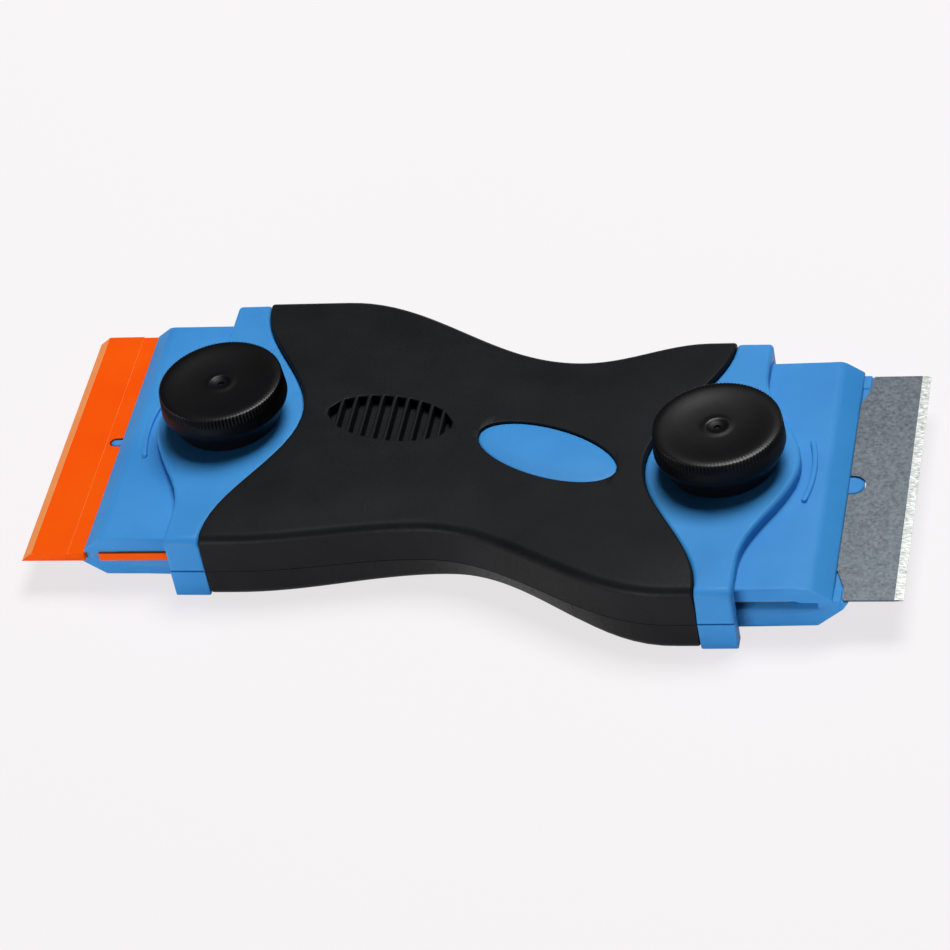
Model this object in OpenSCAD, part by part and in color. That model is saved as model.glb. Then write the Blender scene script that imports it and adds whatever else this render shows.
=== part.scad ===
// Double-ended blade scraper: an S-shaped two-material handle with a knob-operated blade clamp at each
// end. The sharp edges point along X, the tool rests on its underside at z = 0, and each end is drawn
// once, about its own knob's axis, and turned half round for the other end.

/* [Handle] */
// Distance from the middle of the handle to each knob's axis
knob_x = 30; // [29:0.5:34]
// Sideways shift of each end, which gives the handle its S shape
end_shift = 4.55; // [3:0.05:7]
// How far the grip stands out past the legs at each side
grip_over = 0.2; // [0.1:0.05:0.8]
// Distance from the middle at which the grip reaches its full width
shoulder_x = 26; // [24:0.5:29]
// The same distance at the wide end of the rear edge, which swings out sooner
rear_shoulder_x = 19.5; // [18:0.5:24]
// Place along the handle where the front edge is drawn in most
front_waist_x = -4; // [-8:0.5:0]
// How far the front waist is drawn in from the grip's half width
front_waist_in = 6.5; // [5:0.1:8]
// Place along the handle where the rear edge is drawn in most
rear_waist_x = 11.5; // [4:0.5:15]
// How far the rear waist is drawn in from the grip's half width
rear_waist_in = 7.8; // [5:0.1:8]
// How much further the waist is drawn in at the underside
waist_undercut = 1.1; // [0:0.1:2]
// How much later the edge swings out at the underside
waist_lag = 3; // [0:0.1:3.4]

/* [Grip] */
// Height of the seam between the two halves
seam_z = 3.75; // [3.4:0.05:4.2]
// Height of the grip's edge above the strap
grip_proud = 0.3; // [0.1:0.05:0.6]
// Rise of the grip's top from its edge to its middle
grip_crown = 0.3; // [0.1:0.05:0.6]
// Distance from the edge over which the grip's top rises
crown_inset = 7; // [5:0.5:8]
// Thickness of the soft cover over the cores
grip_t = 1.5; // [1.2:0.1:1.8]
// Rounding of the grip's upper and lower edges
grip_round = 1.1; // [0.6:0.1:1.4]
// Depth of the groove along the seam
seam_groove = 0.2; // [0.1:0.05:0.4]

/* [Ovals] */
// Length of the blue oval in the grip's window
badge_length = 18.6; // [14:0.2:20]
// Width of the blue oval
badge_width = 8.2; // [6:0.2:9]
// Turn of the blue oval
badge_turn = -25; // [-35:1:-15]
// Length of the slotted oval
vent_length = 15.8; // [12:0.2:17]
// Width of the slotted oval
vent_width = 7.6; // [6:0.2:9]
// Turn of the slotted oval
vent_turn = -13.5; // [-30:0.5:0]
// Number of slots
slot_count = 10; // [6:1:12]
// Width of one slot
slot_w = 1.1; // [0.8:0.05:1.2]
// Depth of the slots
slot_depth = 1.3; // [0.5:0.1:1.4]

/* [Core and strap] */
// Wall of the blue half shells
core_wall = 1.6; // [1.2:0.1:2]
// How far the core's end walls stand out from under the grip
core_lap = 0.4; // [0.3:0.05:0.6]
// Thickness of the strap under the knob
strap_t = 1.55; // [1.2:0.05:2]
// Thickness of each leg
leg_t = 1.55; // [1.2:0.05:2]
// Front face of the legs, from the knob's axis
leg_front = 3.4; // [2.8:0.1:4]
// Back face of the legs, from the knob's axis
leg_back = -0.8; // [-1.6:0.1:-0.5]
// Reach of the round pad past the knob's rim, in front
pad_front_rim = 1.25; // [0.8:0.05:1.6]
// Reach of the round pad past the knob's rim, behind
pad_back_rim = 1.35; // [0.8:0.05:1.8]
// Share of the half width that the pad's front curve takes
front_share = 0.75; // [0.65:0.01:0.8]
// Share of the half width that the pad's back curve takes
back_share = 0.98; // [0.85:0.01:1]
// Rounding of the strap where it turns down into the legs
leg_round = 1; // [0.5:0.1:1.4]
// Height of the lower legs' feet above the underside
foot_z = 0; // [0:0.1:0.6]
// Rounding of the lower legs' feet
foot_round = 0.3; // [0.2:0.1:0.7]

/* [Jaws] */
// How far the blade stands out past each side of the jaws
jaw_inset = 0.3; // [0:0.05:0.6]
// Reach of the upper jaw past the blade's middle line
jaw_past_mid = 1.8; // [1.4:0.1:2.2]
// Thickness of the upper jaw
upper_jaw_t = 2; // [1.6:0.05:2.4]
// Length of the slope at the upper jaw's front
slope_length = 2.3; // [1.2:0.1:2.6]
// Thickness of the upper jaw's front lip
lip_t = 0.3; // [0.3:0.05:0.8]
// How much narrower the lower jaw is at each side
lower_jaw_inset = 0.3; // [0:0.05:0.5]
// Thickness of the lower jaw beside the blade
lower_jaw_t = 2.6; // [2.2:0.05:2.8]
// Space between the jaws beside the blade
jaw_gap = 1.2; // [1.1:0.05:1.5]
// Travel of the lower jaw when the knob is undone
jaw_drop = 1.1; // [0.9:0.05:1.4]
// Reach of the lower jaw's nose past the upper jaw
nose_reach = 1.7; // [1.2:0.1:2]
// Length of the slope under the lower jaw's nose
nose_slope = 3.9; // [3:0.1:4.5]
// Length of the blunt end above that slope
nose_blunt = 0.7; // [0.4:0.1:1]
// Depth of the window at each side of the blade
window_depth = 2; // [1.6:0.1:2.4]
// Length of the post that closes the window in front, beside the steel blade
steel_post_length = 2.5; // [2:0.1:2.8]
// Length of the same post beside the plastic blade
plastic_post_length = 1.5; // [1.2:0.1:1.8]
// Length of the heel that the clamp tips on, behind the stud
heel_length = 1.2; // [0.8:0.1:1.6]
// Place of the raised arc on the upper jaw, from the pad's front (0) to the slope (1)
arc_place = 0.5; // [0.4:0.05:0.6]
// Bending radius of the raised arc
arc_bend = 20; // [12:1:30]
// Width of the raised arc
arc_w = 0.65; // [0.4:0.05:0.8]
// Height of the raised arc
arc_h = 0.4; // [0.2:0.05:0.5]
// Half length of the raised arc
arc_half = 4.9; // [3:0.1:6]

/* [Blades] */
// Depth of both blades from front to back
blade_depth = 19.05; // [18:0.05:20]
// Width of the plastic blade
plastic_w = 39.6; // [37:0.1:42]
// Thickness of the plastic blade
plastic_t = 1.05; // [0.7:0.05:1.1]
// Length of the plastic blade's bevel
plastic_bevel = 1.4; // [1:0.1:2.5]
// How far in front of the upper jaw the plastic blade gets thicker
plastic_step = 1.9; // [1:0.1:3]
// How much thicker its front strip is than the clamped part
plastic_rise = 0.12; // [0.05:0.01:0.3]
// How much narrower the steel blade is
steel_short = 1.5; // [0:0.1:2]
// Thickness of the steel blade
steel_t = 0.25; // [0.23:0.01:0.4]
// Length of the steel blade's ground bevels
steel_bevel = 1; // [0.6:0.1:1.6]
// Width of the flat that is left on a sharp edge
edge_flat = 0.06; // [0.04:0.01:0.1]
// Width of the plastic blade's centre slot
plastic_slot_w = 1.5; // [1.2:0.1:2]
// Length of the plastic blade's centre slot
plastic_slot_length = 6.8; // [5.6:0.1:7]
// Width of the steel blade's centre slot
steel_slot_w = 3.2; // [2.4:0.1:3.6]
// Length of the steel blade's centre slot
steel_slot_length = 7.4; // [6:0.1:8]
// Depth of the notch in each side of the steel blade
notch_depth = 5.2; // [4:0.1:6]
// Chamfer of the notch's mouth
notch_flare = 0.5; // [0.2:0.1:0.8]
// Taper of each of the notch's sides
notch_taper = 0.9; // [0.4:0.1:1.2]

/* [Knob] */
// Radius of the knob's rim
knob_r = 7.55; // [7:0.05:8]
// Radius of the knob's foot
knob_foot_r = 6.2; // [5.6:0.1:6.6]
// Height of the knob above the strap
knob_h = 5.75; // [5:0.05:6.5]
// Height of the rim's upright band
rim_h = 2.8; // [1:0.1:3.2]
// Width of the flat ring round the dish in the knob's top
rim_w = 1.3; // [0.5:0.1:1.5]
// Depth of the dish
dish_depth = 0.5; // [0.2:0.1:0.8]
// Share of the dish's depth that its outer slope takes
dish_share = 0.6; // [0.3:0.05:0.8]
// Radius of the dimple in the middle of the dish
dimple_r = 1.4; // [1:0.1:2]
// Chamfer of the rim and depth of the dimple
knob_chamfer = 0.2; // [0.1:0.05:0.3]
// Radius of the threaded stud
stud_r = 2; // [1.8:0.05:2.1]
// Gap between the stud and the blade's rear edge
stud_gap = 0.7; // [0.4:0.05:1]
// Width over the flats of the stud's head, held in the knob
stud_head_flats = 7; // [6:0.1:7.5]
// Height of the stud's head
stud_head_h = 2.6; // [2:0.1:2.8]
// Thickness of the knob's floor under the stud's head
knob_floor_t = 0.4; // [0.3:0.05:0.6]
// Outer radius of the washer
washer_r = 4.6; // [4:0.1:4.8]
// Thickness of the washer
washer_t = 0.5; // [0.4:0.05:0.6]
// Width over the flats of the nut
nut_flats = 7; // [6.6:0.1:7.4]
// Thickness of the nut
nut_t = 2.2; // [2:0.05:2.3]

/* [Screws] */
// Place of each screw along the handle, from the middle
screw_x = 12; // [10:0.5:13]
// Place of each screw across the handle, from the middle line
screw_y = 3; // [2:0.5:5]
// Radius of the screw's thread
screw_r = 1.25; // [1:0.05:1.4]
// Radius of the screw's head
screw_head_r = 2.4; // [2:0.1:2.6]
// Height of the screw's head
screw_head_h = 1.4; // [1.2:0.1:1.6]
// Length of each bar of the cross in the screw's head
cross_length = 2.6; // [2:0.1:3.4]
// Width of each bar of the cross
cross_w = 0.6; // [0.4:0.05:0.8]
// Depth of the head below the underside
screw_sink = 0.5; // [0.3:0.1:0.8]

/* [Fits] */
// Gap at each side between a blade and the legs
blade_clear = 0.15; // [0.1:0.05:0.3]
// Gap between a jaw's tongue and the core's end wall
tongue_clear = 0.25; // [0.2:0.05:0.35]
// Gap between the soft cover and what it is moulded round
bond_gap = 0.02; // [0.01:0.01:0.05]
// Running clearance of the stud in its nut
thread_clear = 0.03; // [0.02:0.01:0.08]
// Clearance of the stud and the screw heads in the holes that they pass
hole_clear = 0.25; // [0.15:0.05:0.4]
// Gap round a blade's posts and peg
post_clear = 0.15; // [0.1:0.05:0.25]
// Gap that keeps the open lower jaw, the nut and the knob's foot off what they face
rest_gap = 0.1; // [0.05:0.05:0.2]
// Gap between the tongues of the two jaws, round the stud
tongue_gap = 0.4; // [0.3:0.05:0.5]

/* [Hidden] */
$fn = 64;
blue = "#4297DA";
black = "#232426";
knob_black = "#121214";
orange = "#FF5E0E";
steel = "#8A9096";
zinc = "#B9BEC2";

// Heights, stacked up from the surface that the tool rests on
lower_jaw_z = jaw_drop + rest_gap;
window_z = lower_jaw_z + lower_jaw_t;
clamp_z = window_z + jaw_gap;
strap_z = clamp_z + upper_jaw_t;
strap_top = strap_z + strap_t;
grip_edge_top = strap_top + grip_proud;
grip_top = grip_edge_top + grip_crown;
core_top = grip_edge_top - grip_t;
core_floor = grip_t;
cavity_low = core_floor + core_wall;
cavity_high = core_top - core_wall;
tongue_top = clamp_z - tongue_gap;
nut_seat_z = lower_jaw_z + rest_gap;
knob_foot_z = strap_top + rest_gap;
knob_top = strap_top + knob_h;
stud_head_z = strap_top + washer_t + knob_floor_t;
screw_seat_z = screw_sink + screw_head_h;
screw_top = cavity_high - rest_gap;

// Widths, out from the blade
steel_w = plastic_w - steel_short;
jaw_half_w = plastic_w / 2 - jaw_inset;
lower_half_w = jaw_half_w - lower_jaw_inset;
post_v = lower_half_w - window_depth - post_clear;
leg_inner = plastic_w / 2 + blade_clear;
leg_half_w = leg_inner + leg_t;
grip_half_w = leg_half_w + grip_over;
narrow_y = grip_half_w - end_shift;
wide_y = grip_half_w + end_shift;
front_run = front_share * leg_half_w;
back_run = back_share * leg_half_w;

// Lengths, out from the knob's axis
pad_front = knob_r + pad_front_rim - leg_front;
pad_back = knob_r + pad_back_rim + leg_back;
blade_back = stud_r + stud_gap;
blade_mid = blade_back + blade_depth / 2;
jaw_front = blade_mid + jaw_past_mid;
nose_front = jaw_front + nose_reach;
post_front = nose_front - nose_blunt - post_clear;
post_back = post_front - steel_post_length;
tongue_front = blade_back - post_clear;
tongue_lap = core_lap + tongue_clear;
arc_front = mix(leg_front + pad_front, jaw_front - slope_length, arc_place);
arc_turn = asin(arc_half / arc_bend);

// Lengths along the handle and drawing steps
blank_x = knob_x + leg_back + core_lap + grip_t;
slot_pitch = vent_length / slot_count;
badge_mid = [9.5, -2.8];
vent_mid = [-10.2, 3.5];
edge_steps = 40;
curve_steps = 32;
oval_steps = 48;
round_step = 30;
slope_step = 0.05;
over = 1;
far = 80;

function mix(a, b, t) = a + (b - a) * t;

// Smooth step from 0 to 1, level at both ends
function ease(t) = t <= 0 ? 0 : t >= 1 ? 1 : (1 - cos(180 * t)) / 2;

// One long edge of the handle: its distance from the middle line, narrow end to wide end
function edge_y(x, waist_x, waist_y, wide_x) = x < waist_x
    ? mix(waist_y, narrow_y, ease((waist_x - x) / (waist_x + shoulder_x)))
    : mix(waist_y, wide_y, ease((x - waist_x) / (wide_x - waist_x)));

// The same edge moved inwards, square to itself
function inset_y(x, waist_x, waist_y, wide_x, inset) =
    let (ahead = edge_y(x + slope_step, waist_x, waist_y, wide_x))
    let (behind = edge_y(x - slope_step, waist_x, waist_y, wide_x))
    let (slope = (ahead - behind) / (2 * slope_step))
    edge_y(x, waist_x, waist_y, wide_x) - inset * sqrt(1 + slope * slope);

// The handle seen from above: low is 0 down to the seam and 1 at the underside
function outline(inset, low = 0) =
    let (stations = [for (i = [0:edge_steps]) mix(-blank_x, blank_x, i / edge_steps)])
    let (lag = low * waist_lag, drawn_y = grip_half_w - low * waist_undercut)
    let (front_y = drawn_y - front_waist_in, rear_y = drawn_y - rear_waist_in)
    concat(
        [for (x = stations) [x, -inset_y(x, front_waist_x + lag, front_y, shoulder_x, inset)]],
        [for (x = stations) [-x, inset_y(x, lag - rear_waist_x, rear_y, rear_shoulder_x, inset)]]);

function ring(z, inset, low = 0) = [for (p = outline(inset, low)) [p.x, p.y, z]];

// Back and front of the strap at a distance v across the tool
function strap_back(v) = leg_back - pad_back * ease(1 - abs(v) / back_run);
function strap_front(v) = leg_front + pad_front * ease(1 - abs(v) / front_run);

function across(half) = [for (i = [0:curve_steps]) mix(-half, half, i / curve_steps)];

function oval(length, width) = [for (i = [0:oval_steps - 1])
    let (a = i * 360 / oval_steps)
    [length / 2 * cos(a), width / 2 * sin(a)]];

// Closed skin through rings of equal length, listed from the lowest to the highest; the ends are closed
// by strips from the front edge to the rear edge
module loft(rings) {
    n = len(rings[0]);
    roof = (len(rings) - 1) * n;
    sides = [for (k = [0:len(rings) - 2], i = [0:n - 1])
        let (j = (i + 1) % n, a = k * n, b = (k + 1) * n)
        each [[a + i, b + i, b + j], [a + i, b + j, a + j]]];
    ends = [for (i = [0:edge_steps - 1])
        let (j = n - 1 - i)
        each [[i, i + 1, j - 1, j], [roof + j, roof + j - 1, roof + i + 1, roof + i]]];
    polyhedron(points = [for (r = rings) each r], faces = concat(sides, ends));
}

module right_end() {
    translate([knob_x, -end_shift, 0]) children();
}

module left_end() {
    rotate([0, 0, 180]) right_end() children();
}

module both_ends() {
    right_end() children();
    left_end() children();
}

// Plan of the handle's middle, between the back curves of the two straps, each moved outwards by lap
module middle_plan(lap) {
    right = [for (v = across(back_run + over)) [knob_x + strap_back(v) + lap, v - end_shift]];
    polygon(concat(right, -right));
}

// Plan of the strap with its pad and both legs
module strap_plan() {
    back = [for (v = across(leg_half_w)) [strap_back(v), v]];
    front = [for (v = across(leg_half_w)) [strap_front(-v), -v]];
    polygon(concat(back, front));
}

// Section of the strap across the tool, rounded over into the legs
module strap_section(low, high, radius) {
    translate([-leg_half_w, low])
        square([2 * leg_half_w, high - radius - low]);
    translate([radius - leg_half_w, low])
        square([2 * (leg_half_w - radius), high - low]);
    for (side = [-1, 1])
        translate([side * (leg_half_w - radius), high - radius])
            circle(radius);
}

module along_tool(length) {
    translate([length / 2, 0, 0])
        rotate([90, 0, -90])
            linear_extrude(length)
                children();
}

module strap() {
    difference() {
        intersection() {
            translate([0, 0, seam_z])
                linear_extrude(strap_top - seam_z)
                    strap_plan();
            along_tool(far)
                strap_section(seam_z, strap_top, leg_round);
        }
        translate([-far / 2, -leg_inner, 0])
            cube([far, 2 * leg_inner, strap_z]);
    }
}

module lower_legs() {
    difference() {
        intersection() {
            translate([0, 0, foot_z])
                linear_extrude(seam_z - foot_z)
                    strap_plan();
            along_tool(far)
                mirror([0, 1])
                    strap_section(-seam_z, -foot_z, foot_round);
        }
        translate([-far / 2, -leg_inner, -over])
            cube([far, 2 * leg_inner, seam_z + 2 * over]);
    }
}

// Block of the handle's middle between two heights, inside the soft cover
module core_block(low, high, inset, lap, under) {
    translate([0, 0, low])
        linear_extrude(high - low)
            intersection() {
                polygon(outline(inset, under));
                middle_plan(lap);
            }
}

module screw_places() {
    for (turn = [0, 180])
        rotate([0, 0, turn])
            translate([screw_x, -screw_y, 0])
                children();
}

module badge_place() {
    translate(badge_mid) rotate([0, 0, badge_turn]) children();
}

module upper_core() {
    color(blue)
        difference() {
            union() {
                difference() {
                    core_block(seam_z, core_top, grip_t + bond_gap, core_lap, 0);
                    core_block(seam_z - over, cavity_high, grip_t + core_wall, -core_wall, 0);
                }
                both_ends() strap();
                badge_place()
                    translate([0, 0, cavity_high])
                        linear_extrude(grip_edge_top - cavity_high)
                            polygon(oval(badge_length, badge_width));
                screw_places()
                    translate([0, 0, seam_z])
                        cylinder(r = 2 * screw_r, h = core_top - seam_z);
            }
            both_ends() stud_hole();
            screw_places()
                translate([0, 0, seam_z - over])
                    cylinder(r = screw_r + bond_gap, h = screw_top - seam_z + over + bond_gap);
        }
}

module lower_core() {
    color(blue)
        difference() {
            union() {
                difference() {
                    core_block(core_floor, seam_z, grip_t + bond_gap, core_lap, 1);
                    core_block(cavity_low, seam_z + over, grip_t + core_wall, -core_wall, 1);
                }
                both_ends() lower_legs();
                screw_places()
                    translate([0, 0, core_floor])
                        cylinder(r = screw_head_r + core_wall / 2, h = seam_z - core_floor);
            }
            screw_places() {
                cylinder(r = screw_r + bond_gap, h = far);
                cylinder(r = screw_head_r + hole_clear, h = screw_seat_z);
            }
        }
}

module upper_grip_blank() {
    edge = [for (a = [0:round_step:90])
        ring(grip_edge_top - grip_round * (1 - sin(a)), grip_round * (1 - cos(a)))];
    crown = [for (share = [0.5, 1])
        ring(grip_edge_top + grip_crown * sin(90 * share), mix(grip_round, crown_inset, share))];
    seam = [ring(seam_z, seam_groove), ring(seam_z + seam_groove, 0)];
    loft(concat(seam, edge, crown));
}

module lower_grip_blank() {
    edge = [for (a = [90:-round_step:0])
        ring(grip_round * (1 - sin(a)), grip_round * (1 - cos(a)), 1)];
    seam = [ring(seam_z - seam_groove, 0), ring(seam_z, seam_groove)];
    loft(concat(edge, seam));
}

module vent_slots() {
    intersection() {
        translate(vent_mid)
            rotate([0, 0, vent_turn])
                linear_extrude(far)
                    polygon(oval(vent_length, vent_width));
        for (i = [0:slot_count - 1])
            translate([vent_mid.x + (i - (slot_count - 1) / 2) * slot_pitch - slot_w / 2,
                vent_mid.y - vent_width, grip_top - slot_depth])
                cube([slot_w, 2 * vent_width, slot_depth + over]);
    }
}

module upper_grip() {
    color(black)
        difference() {
            intersection() {
                upper_grip_blank();
                linear_extrude(far)
                    middle_plan(-bond_gap);
            }
            translate([0, 0, seam_z - over])
                linear_extrude(core_top + bond_gap - seam_z + over)
                    polygon(outline(grip_t));
            badge_place()
                linear_extrude(far)
                    polygon(oval(badge_length + 2 * bond_gap, badge_width + 2 * bond_gap));
            vent_slots();
        }
}

module lower_grip() {
    color(black)
        difference() {
            intersection() {
                lower_grip_blank();
                translate([0, 0, -over])
                    linear_extrude(far)
                        middle_plan(-bond_gap);
            }
            translate([0, 0, core_floor - bond_gap])
                linear_extrude(seam_z)
                    polygon(outline(grip_t, 1));
            screw_places()
                translate([0, 0, -over])
                    cylinder(r = screw_head_r + hole_clear, h = far);
        }
}

module handle_screws() {
    color(zinc)
        screw_places() {
            translate([0, 0, screw_sink])
                difference() {
                    cylinder(r = screw_head_r, h = screw_head_h);
                    for (turn = [0, 90])
                        rotate([0, 0, turn])
                            cube([cross_length, cross_w, screw_head_h], center = true);
                }
            translate([0, 0, screw_seat_z])
                cylinder(r = screw_r, h = screw_top - screw_seat_z);
        }
}

// Plan of a tongue that lies under the pad, clear of the core's end wall, up to a front line
module tongue_plan(front) {
    back = [for (v = across(jaw_half_w)) [strap_back(v) + tongue_lap, v]];
    polygon(concat(back, [[front, jaw_half_w], [front, -jaw_half_w]]));
}

// Profile along the tool, swept across it to a half width
module swept(half) {
    rotate([90, 0, 0])
        translate([0, 0, -half])
            linear_extrude(2 * half)
                children();
}

module stud_hole() {
    cylinder(r = stud_r + hole_clear, h = far);
}

module hexagon(flats, height) {
    cylinder(r = flats / 2 / cos(30), h = height, $fn = 6);
}

// Round-ended arc about its own centre
module raised_arc() {
    rotate([0, 0, -arc_turn])
        rotate_extrude(angle = 2 * arc_turn)
            translate([arc_bend - arc_w / 2, 0])
                square([arc_w, arc_h + over]);
    for (turn = [-arc_turn, arc_turn])
        rotate([0, 0, turn])
            translate([arc_bend, 0, 0])
                cylinder(r = arc_w / 2, h = arc_h + over);
}

module upper_jaw() {
    root = leg_front - over;
    difference() {
        union() {
            translate([0, 0, clamp_z])
                linear_extrude(upper_jaw_t)
                    tongue_plan(leg_front);
            swept(jaw_half_w)
                polygon([[root, clamp_z], [jaw_front, clamp_z], [jaw_front, clamp_z + lip_t],
                    [jaw_front - slope_length, strap_z], [root, strap_z]]);
            translate([arc_front - arc_bend, 0, strap_z - over])
                raised_arc();
        }
        stud_hole();
    }
}

// Round-ended bar along the tool
module round_bar(length, width, low, high) {
    half = (length - width) / 2;
    translate([-half, -width / 2, low])
        cube([2 * half, width, high - low]);
    for (side = [-1, 1])
        translate([side * half, 0, low])
            cylinder(r = width / 2, h = high - low);
}

// Rear half of the lower jaw: the tongue round the stud and the heel that touches the upper jaw
module lower_tongue() {
    translate([0, 0, lower_jaw_z])
        linear_extrude(tongue_top - lower_jaw_z)
            tongue_plan(tongue_front);
    intersection() {
        translate([0, 0, lower_jaw_z])
            linear_extrude(clamp_z - lower_jaw_z)
                tongue_plan(tongue_front);
        translate([strap_back(0), -knob_r / 2, 0])
            cube([tongue_lap + heel_length, knob_r, far]);
    }
}

// Front half of the lower jaw: a plate with a sloped nose, a land for the blade, two posts and a peg
module lower_front(land_z, slot_length, slot_w, post_length) {
    root = tongue_front - over;
    slope_end = nose_front - nose_slope;
    blunt_z = window_z - rest_gap;
    swept(lower_half_w)
        polygon([[root, lower_jaw_z], [slope_end, lower_jaw_z], [nose_front - nose_blunt, blunt_z],
            [nose_front, land_z], [post_back, land_z], [post_back, window_z], [root, window_z]]);
    swept(lower_half_w - window_depth)
        translate([root, blunt_z])
            square([post_back + over - root, land_z - blunt_z]);
    for (side = [-1, 1])
        translate([post_back, side * (lower_half_w - window_depth / 2) - window_depth / 2, window_z])
            cube([post_length, window_depth, jaw_gap]);
    translate([blade_mid, 0, 0])
        round_bar(slot_length - 2 * post_clear, slot_w - 2 * post_clear, land_z, clamp_z);
}

module lower_jaw(blade_t, slot_length, slot_w, post_length) {
    difference() {
        union() {
            lower_tongue();
            lower_front(clamp_z - blade_t, slot_length, slot_w, post_length);
        }
        stud_hole();
        translate([0, 0, nut_seat_z + nut_t - far])
            hexagon(nut_flats + 2 * bond_gap, far);
    }
}

// Side notch of the steel blade, the same towards both edges, so that the blade can be turned round
module steel_notch() {
    half_w = steel_w / 2;
    floor_v = half_w - notch_depth;
    mouth = post_front + post_clear - blade_mid;
    side = [[mouth + notch_flare, half_w + over], [mouth, half_w - notch_flare], [mouth, post_v],
        [mouth - notch_taper, floor_v + notch_flare], [mouth - 2 * notch_taper, floor_v]];
    polygon(concat(side, [for (i = [len(side) - 1:-1:0]) [-side[i].x, side[i].y]]));
}

module blade_slot(length, width) {
    translate([blade_mid, 0, 0])
        round_bar(length, width, 0, far);
}

// Square notch that lets one of the lower jaw's posts through the plastic blade
module post_gap() {
    translate([post_back - post_clear, post_v, 0])
        cube([plastic_post_length + 2 * post_clear, far, far]);
}

// Plastic blade: a thicker front strip with one cutting edge, bevelled from above like a chisel, and a
// notch round each post
module scraping_blade() {
    low = clamp_z - plastic_t;
    edge_u = blade_back + blade_depth;
    step_u = jaw_front + plastic_step;
    difference() {
        swept(plastic_w / 2)
            polygon([[blade_back, low], [edge_u, low], [edge_u, low + edge_flat],
                [edge_u - plastic_bevel, clamp_z + plastic_rise], [step_u, clamp_z + plastic_rise],
                [step_u, clamp_z], [blade_back, clamp_z]]);
        post_gap();
        mirror([0, 1, 0])
            post_gap();
        blade_slot(plastic_slot_length, plastic_slot_w);
    }
}

// Steel blade: two cutting edges
module razor_blade() {
    half = blade_depth / 2;
    low = clamp_z - steel_t;
    middle = clamp_z - steel_t / 2;
    flat_half = edge_flat / 2;
    difference() {
        translate([blade_mid, 0, 0])
            difference() {
                swept(steel_w / 2)
                    polygon([[-half, middle - flat_half], [steel_bevel - half, low],
                        [half - steel_bevel, low], [half, middle - flat_half],
                        [half, middle + flat_half], [half - steel_bevel, clamp_z],
                        [steel_bevel - half, clamp_z], [-half, middle + flat_half]]);
                for (turn = [0, 180])
                    rotate([0, 0, turn])
                        linear_extrude(far)
                            steel_notch();
            }
        blade_slot(steel_slot_length, steel_slot_w);
    }
}

module knob() {
    rim_low = knob_top - rim_h;
    dish_r = knob_r - 2 * rim_w;
    dish_z = knob_top - dish_depth;
    dimple_z = dish_z - knob_chamfer;
    difference() {
        rotate_extrude()
            polygon([[0, knob_foot_z], [knob_foot_r, knob_foot_z],
                [knob_r - 2 * knob_chamfer, rim_low - knob_chamfer], [knob_r, rim_low],
                [knob_r - knob_chamfer, knob_top - knob_chamfer], [knob_r - 2 * knob_chamfer, knob_top],
                [knob_r - rim_w, knob_top], [dish_r, mix(knob_top, dish_z, dish_share)],
                [dimple_r, dish_z], [dimple_r / 2, dimple_z], [0, dimple_z]]);
        translate([0, 0, knob_foot_z - over])
            cylinder(r = washer_r + hole_clear, h = strap_top + washer_t - knob_foot_z + over);
        cylinder(r = stud_r + bond_gap, h = stud_head_z + over);
        translate([0, 0, stud_head_z - bond_gap])
            hexagon(stud_head_flats + 2 * bond_gap, stud_head_h + 2 * bond_gap);
    }
}

module stud() {
    translate([0, 0, nut_seat_z])
        cylinder(r = stud_r, h = stud_head_z - nut_seat_z);
    translate([0, 0, stud_head_z])
        hexagon(stud_head_flats, stud_head_h);
}

module washer() {
    translate([0, 0, strap_top])
        difference() {
            cylinder(r = washer_r, h = washer_t);
            translate([0, 0, -over])
                stud_hole();
        }
}

module nut() {
    translate([0, 0, nut_seat_z])
        difference() {
            hexagon(nut_flats, nut_t);
            translate([0, 0, -over])
                cylinder(r = stud_r + thread_clear, h = nut_t + 2 * over);
        }
}

module left_upper_jaw() { color(blue) left_end() upper_jaw(); }
module right_upper_jaw() { color(blue) right_end() upper_jaw(); }

module left_lower_jaw() {
    color(blue) left_end()
        lower_jaw(plastic_t, plastic_slot_length, plastic_slot_w, plastic_post_length);
}

module right_lower_jaw() {
    color(blue) right_end()
        lower_jaw(steel_t, steel_slot_length, steel_slot_w, steel_post_length);
}

module plastic_blade() { color(orange) left_end() scraping_blade(); }
module steel_blade() { color(steel) right_end() razor_blade(); }
module left_knob() { color(knob_black) left_end() knob(); }
module right_knob() { color(knob_black) right_end() knob(); }
module left_stud() { color(zinc) left_end() stud(); }
module right_stud() { color(zinc) right_end() stud(); }
module left_washer() { color(zinc) left_end() washer(); }
module right_washer() { color(zinc) right_end() washer(); }
module left_nut() { color(zinc) left_end() nut(); }
module right_nut() { color(zinc) right_end() nut(); }

upper_core();
lower_core();
upper_grip();
lower_grip();
handle_screws();
left_upper_jaw();
right_upper_jaw();
left_lower_jaw();
right_lower_jaw();
plastic_blade();
steel_blade();
left_knob();
right_knob();
left_stud();
right_stud();
left_washer();
right_washer();
left_nut();
right_nut();
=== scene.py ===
# %% [markdown]
# # A double-ended blade scraper, dressed for the camera
#
# The tool is an S-shaped handle with a clamp at each end: a steel blade on the right and a plastic one
# on the left. The imported CAD model is the frame: every piece made here sits in the CAD model's own
# coordinates and rides on one of its bodies, so that the knobs still turn and the jaws still drop. We
# start by loading that frame; nothing that we add may make the tool bigger.

# %% Load the frame
import math

import bmesh
import bpy
from mathutils import Matrix, Vector


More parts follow.
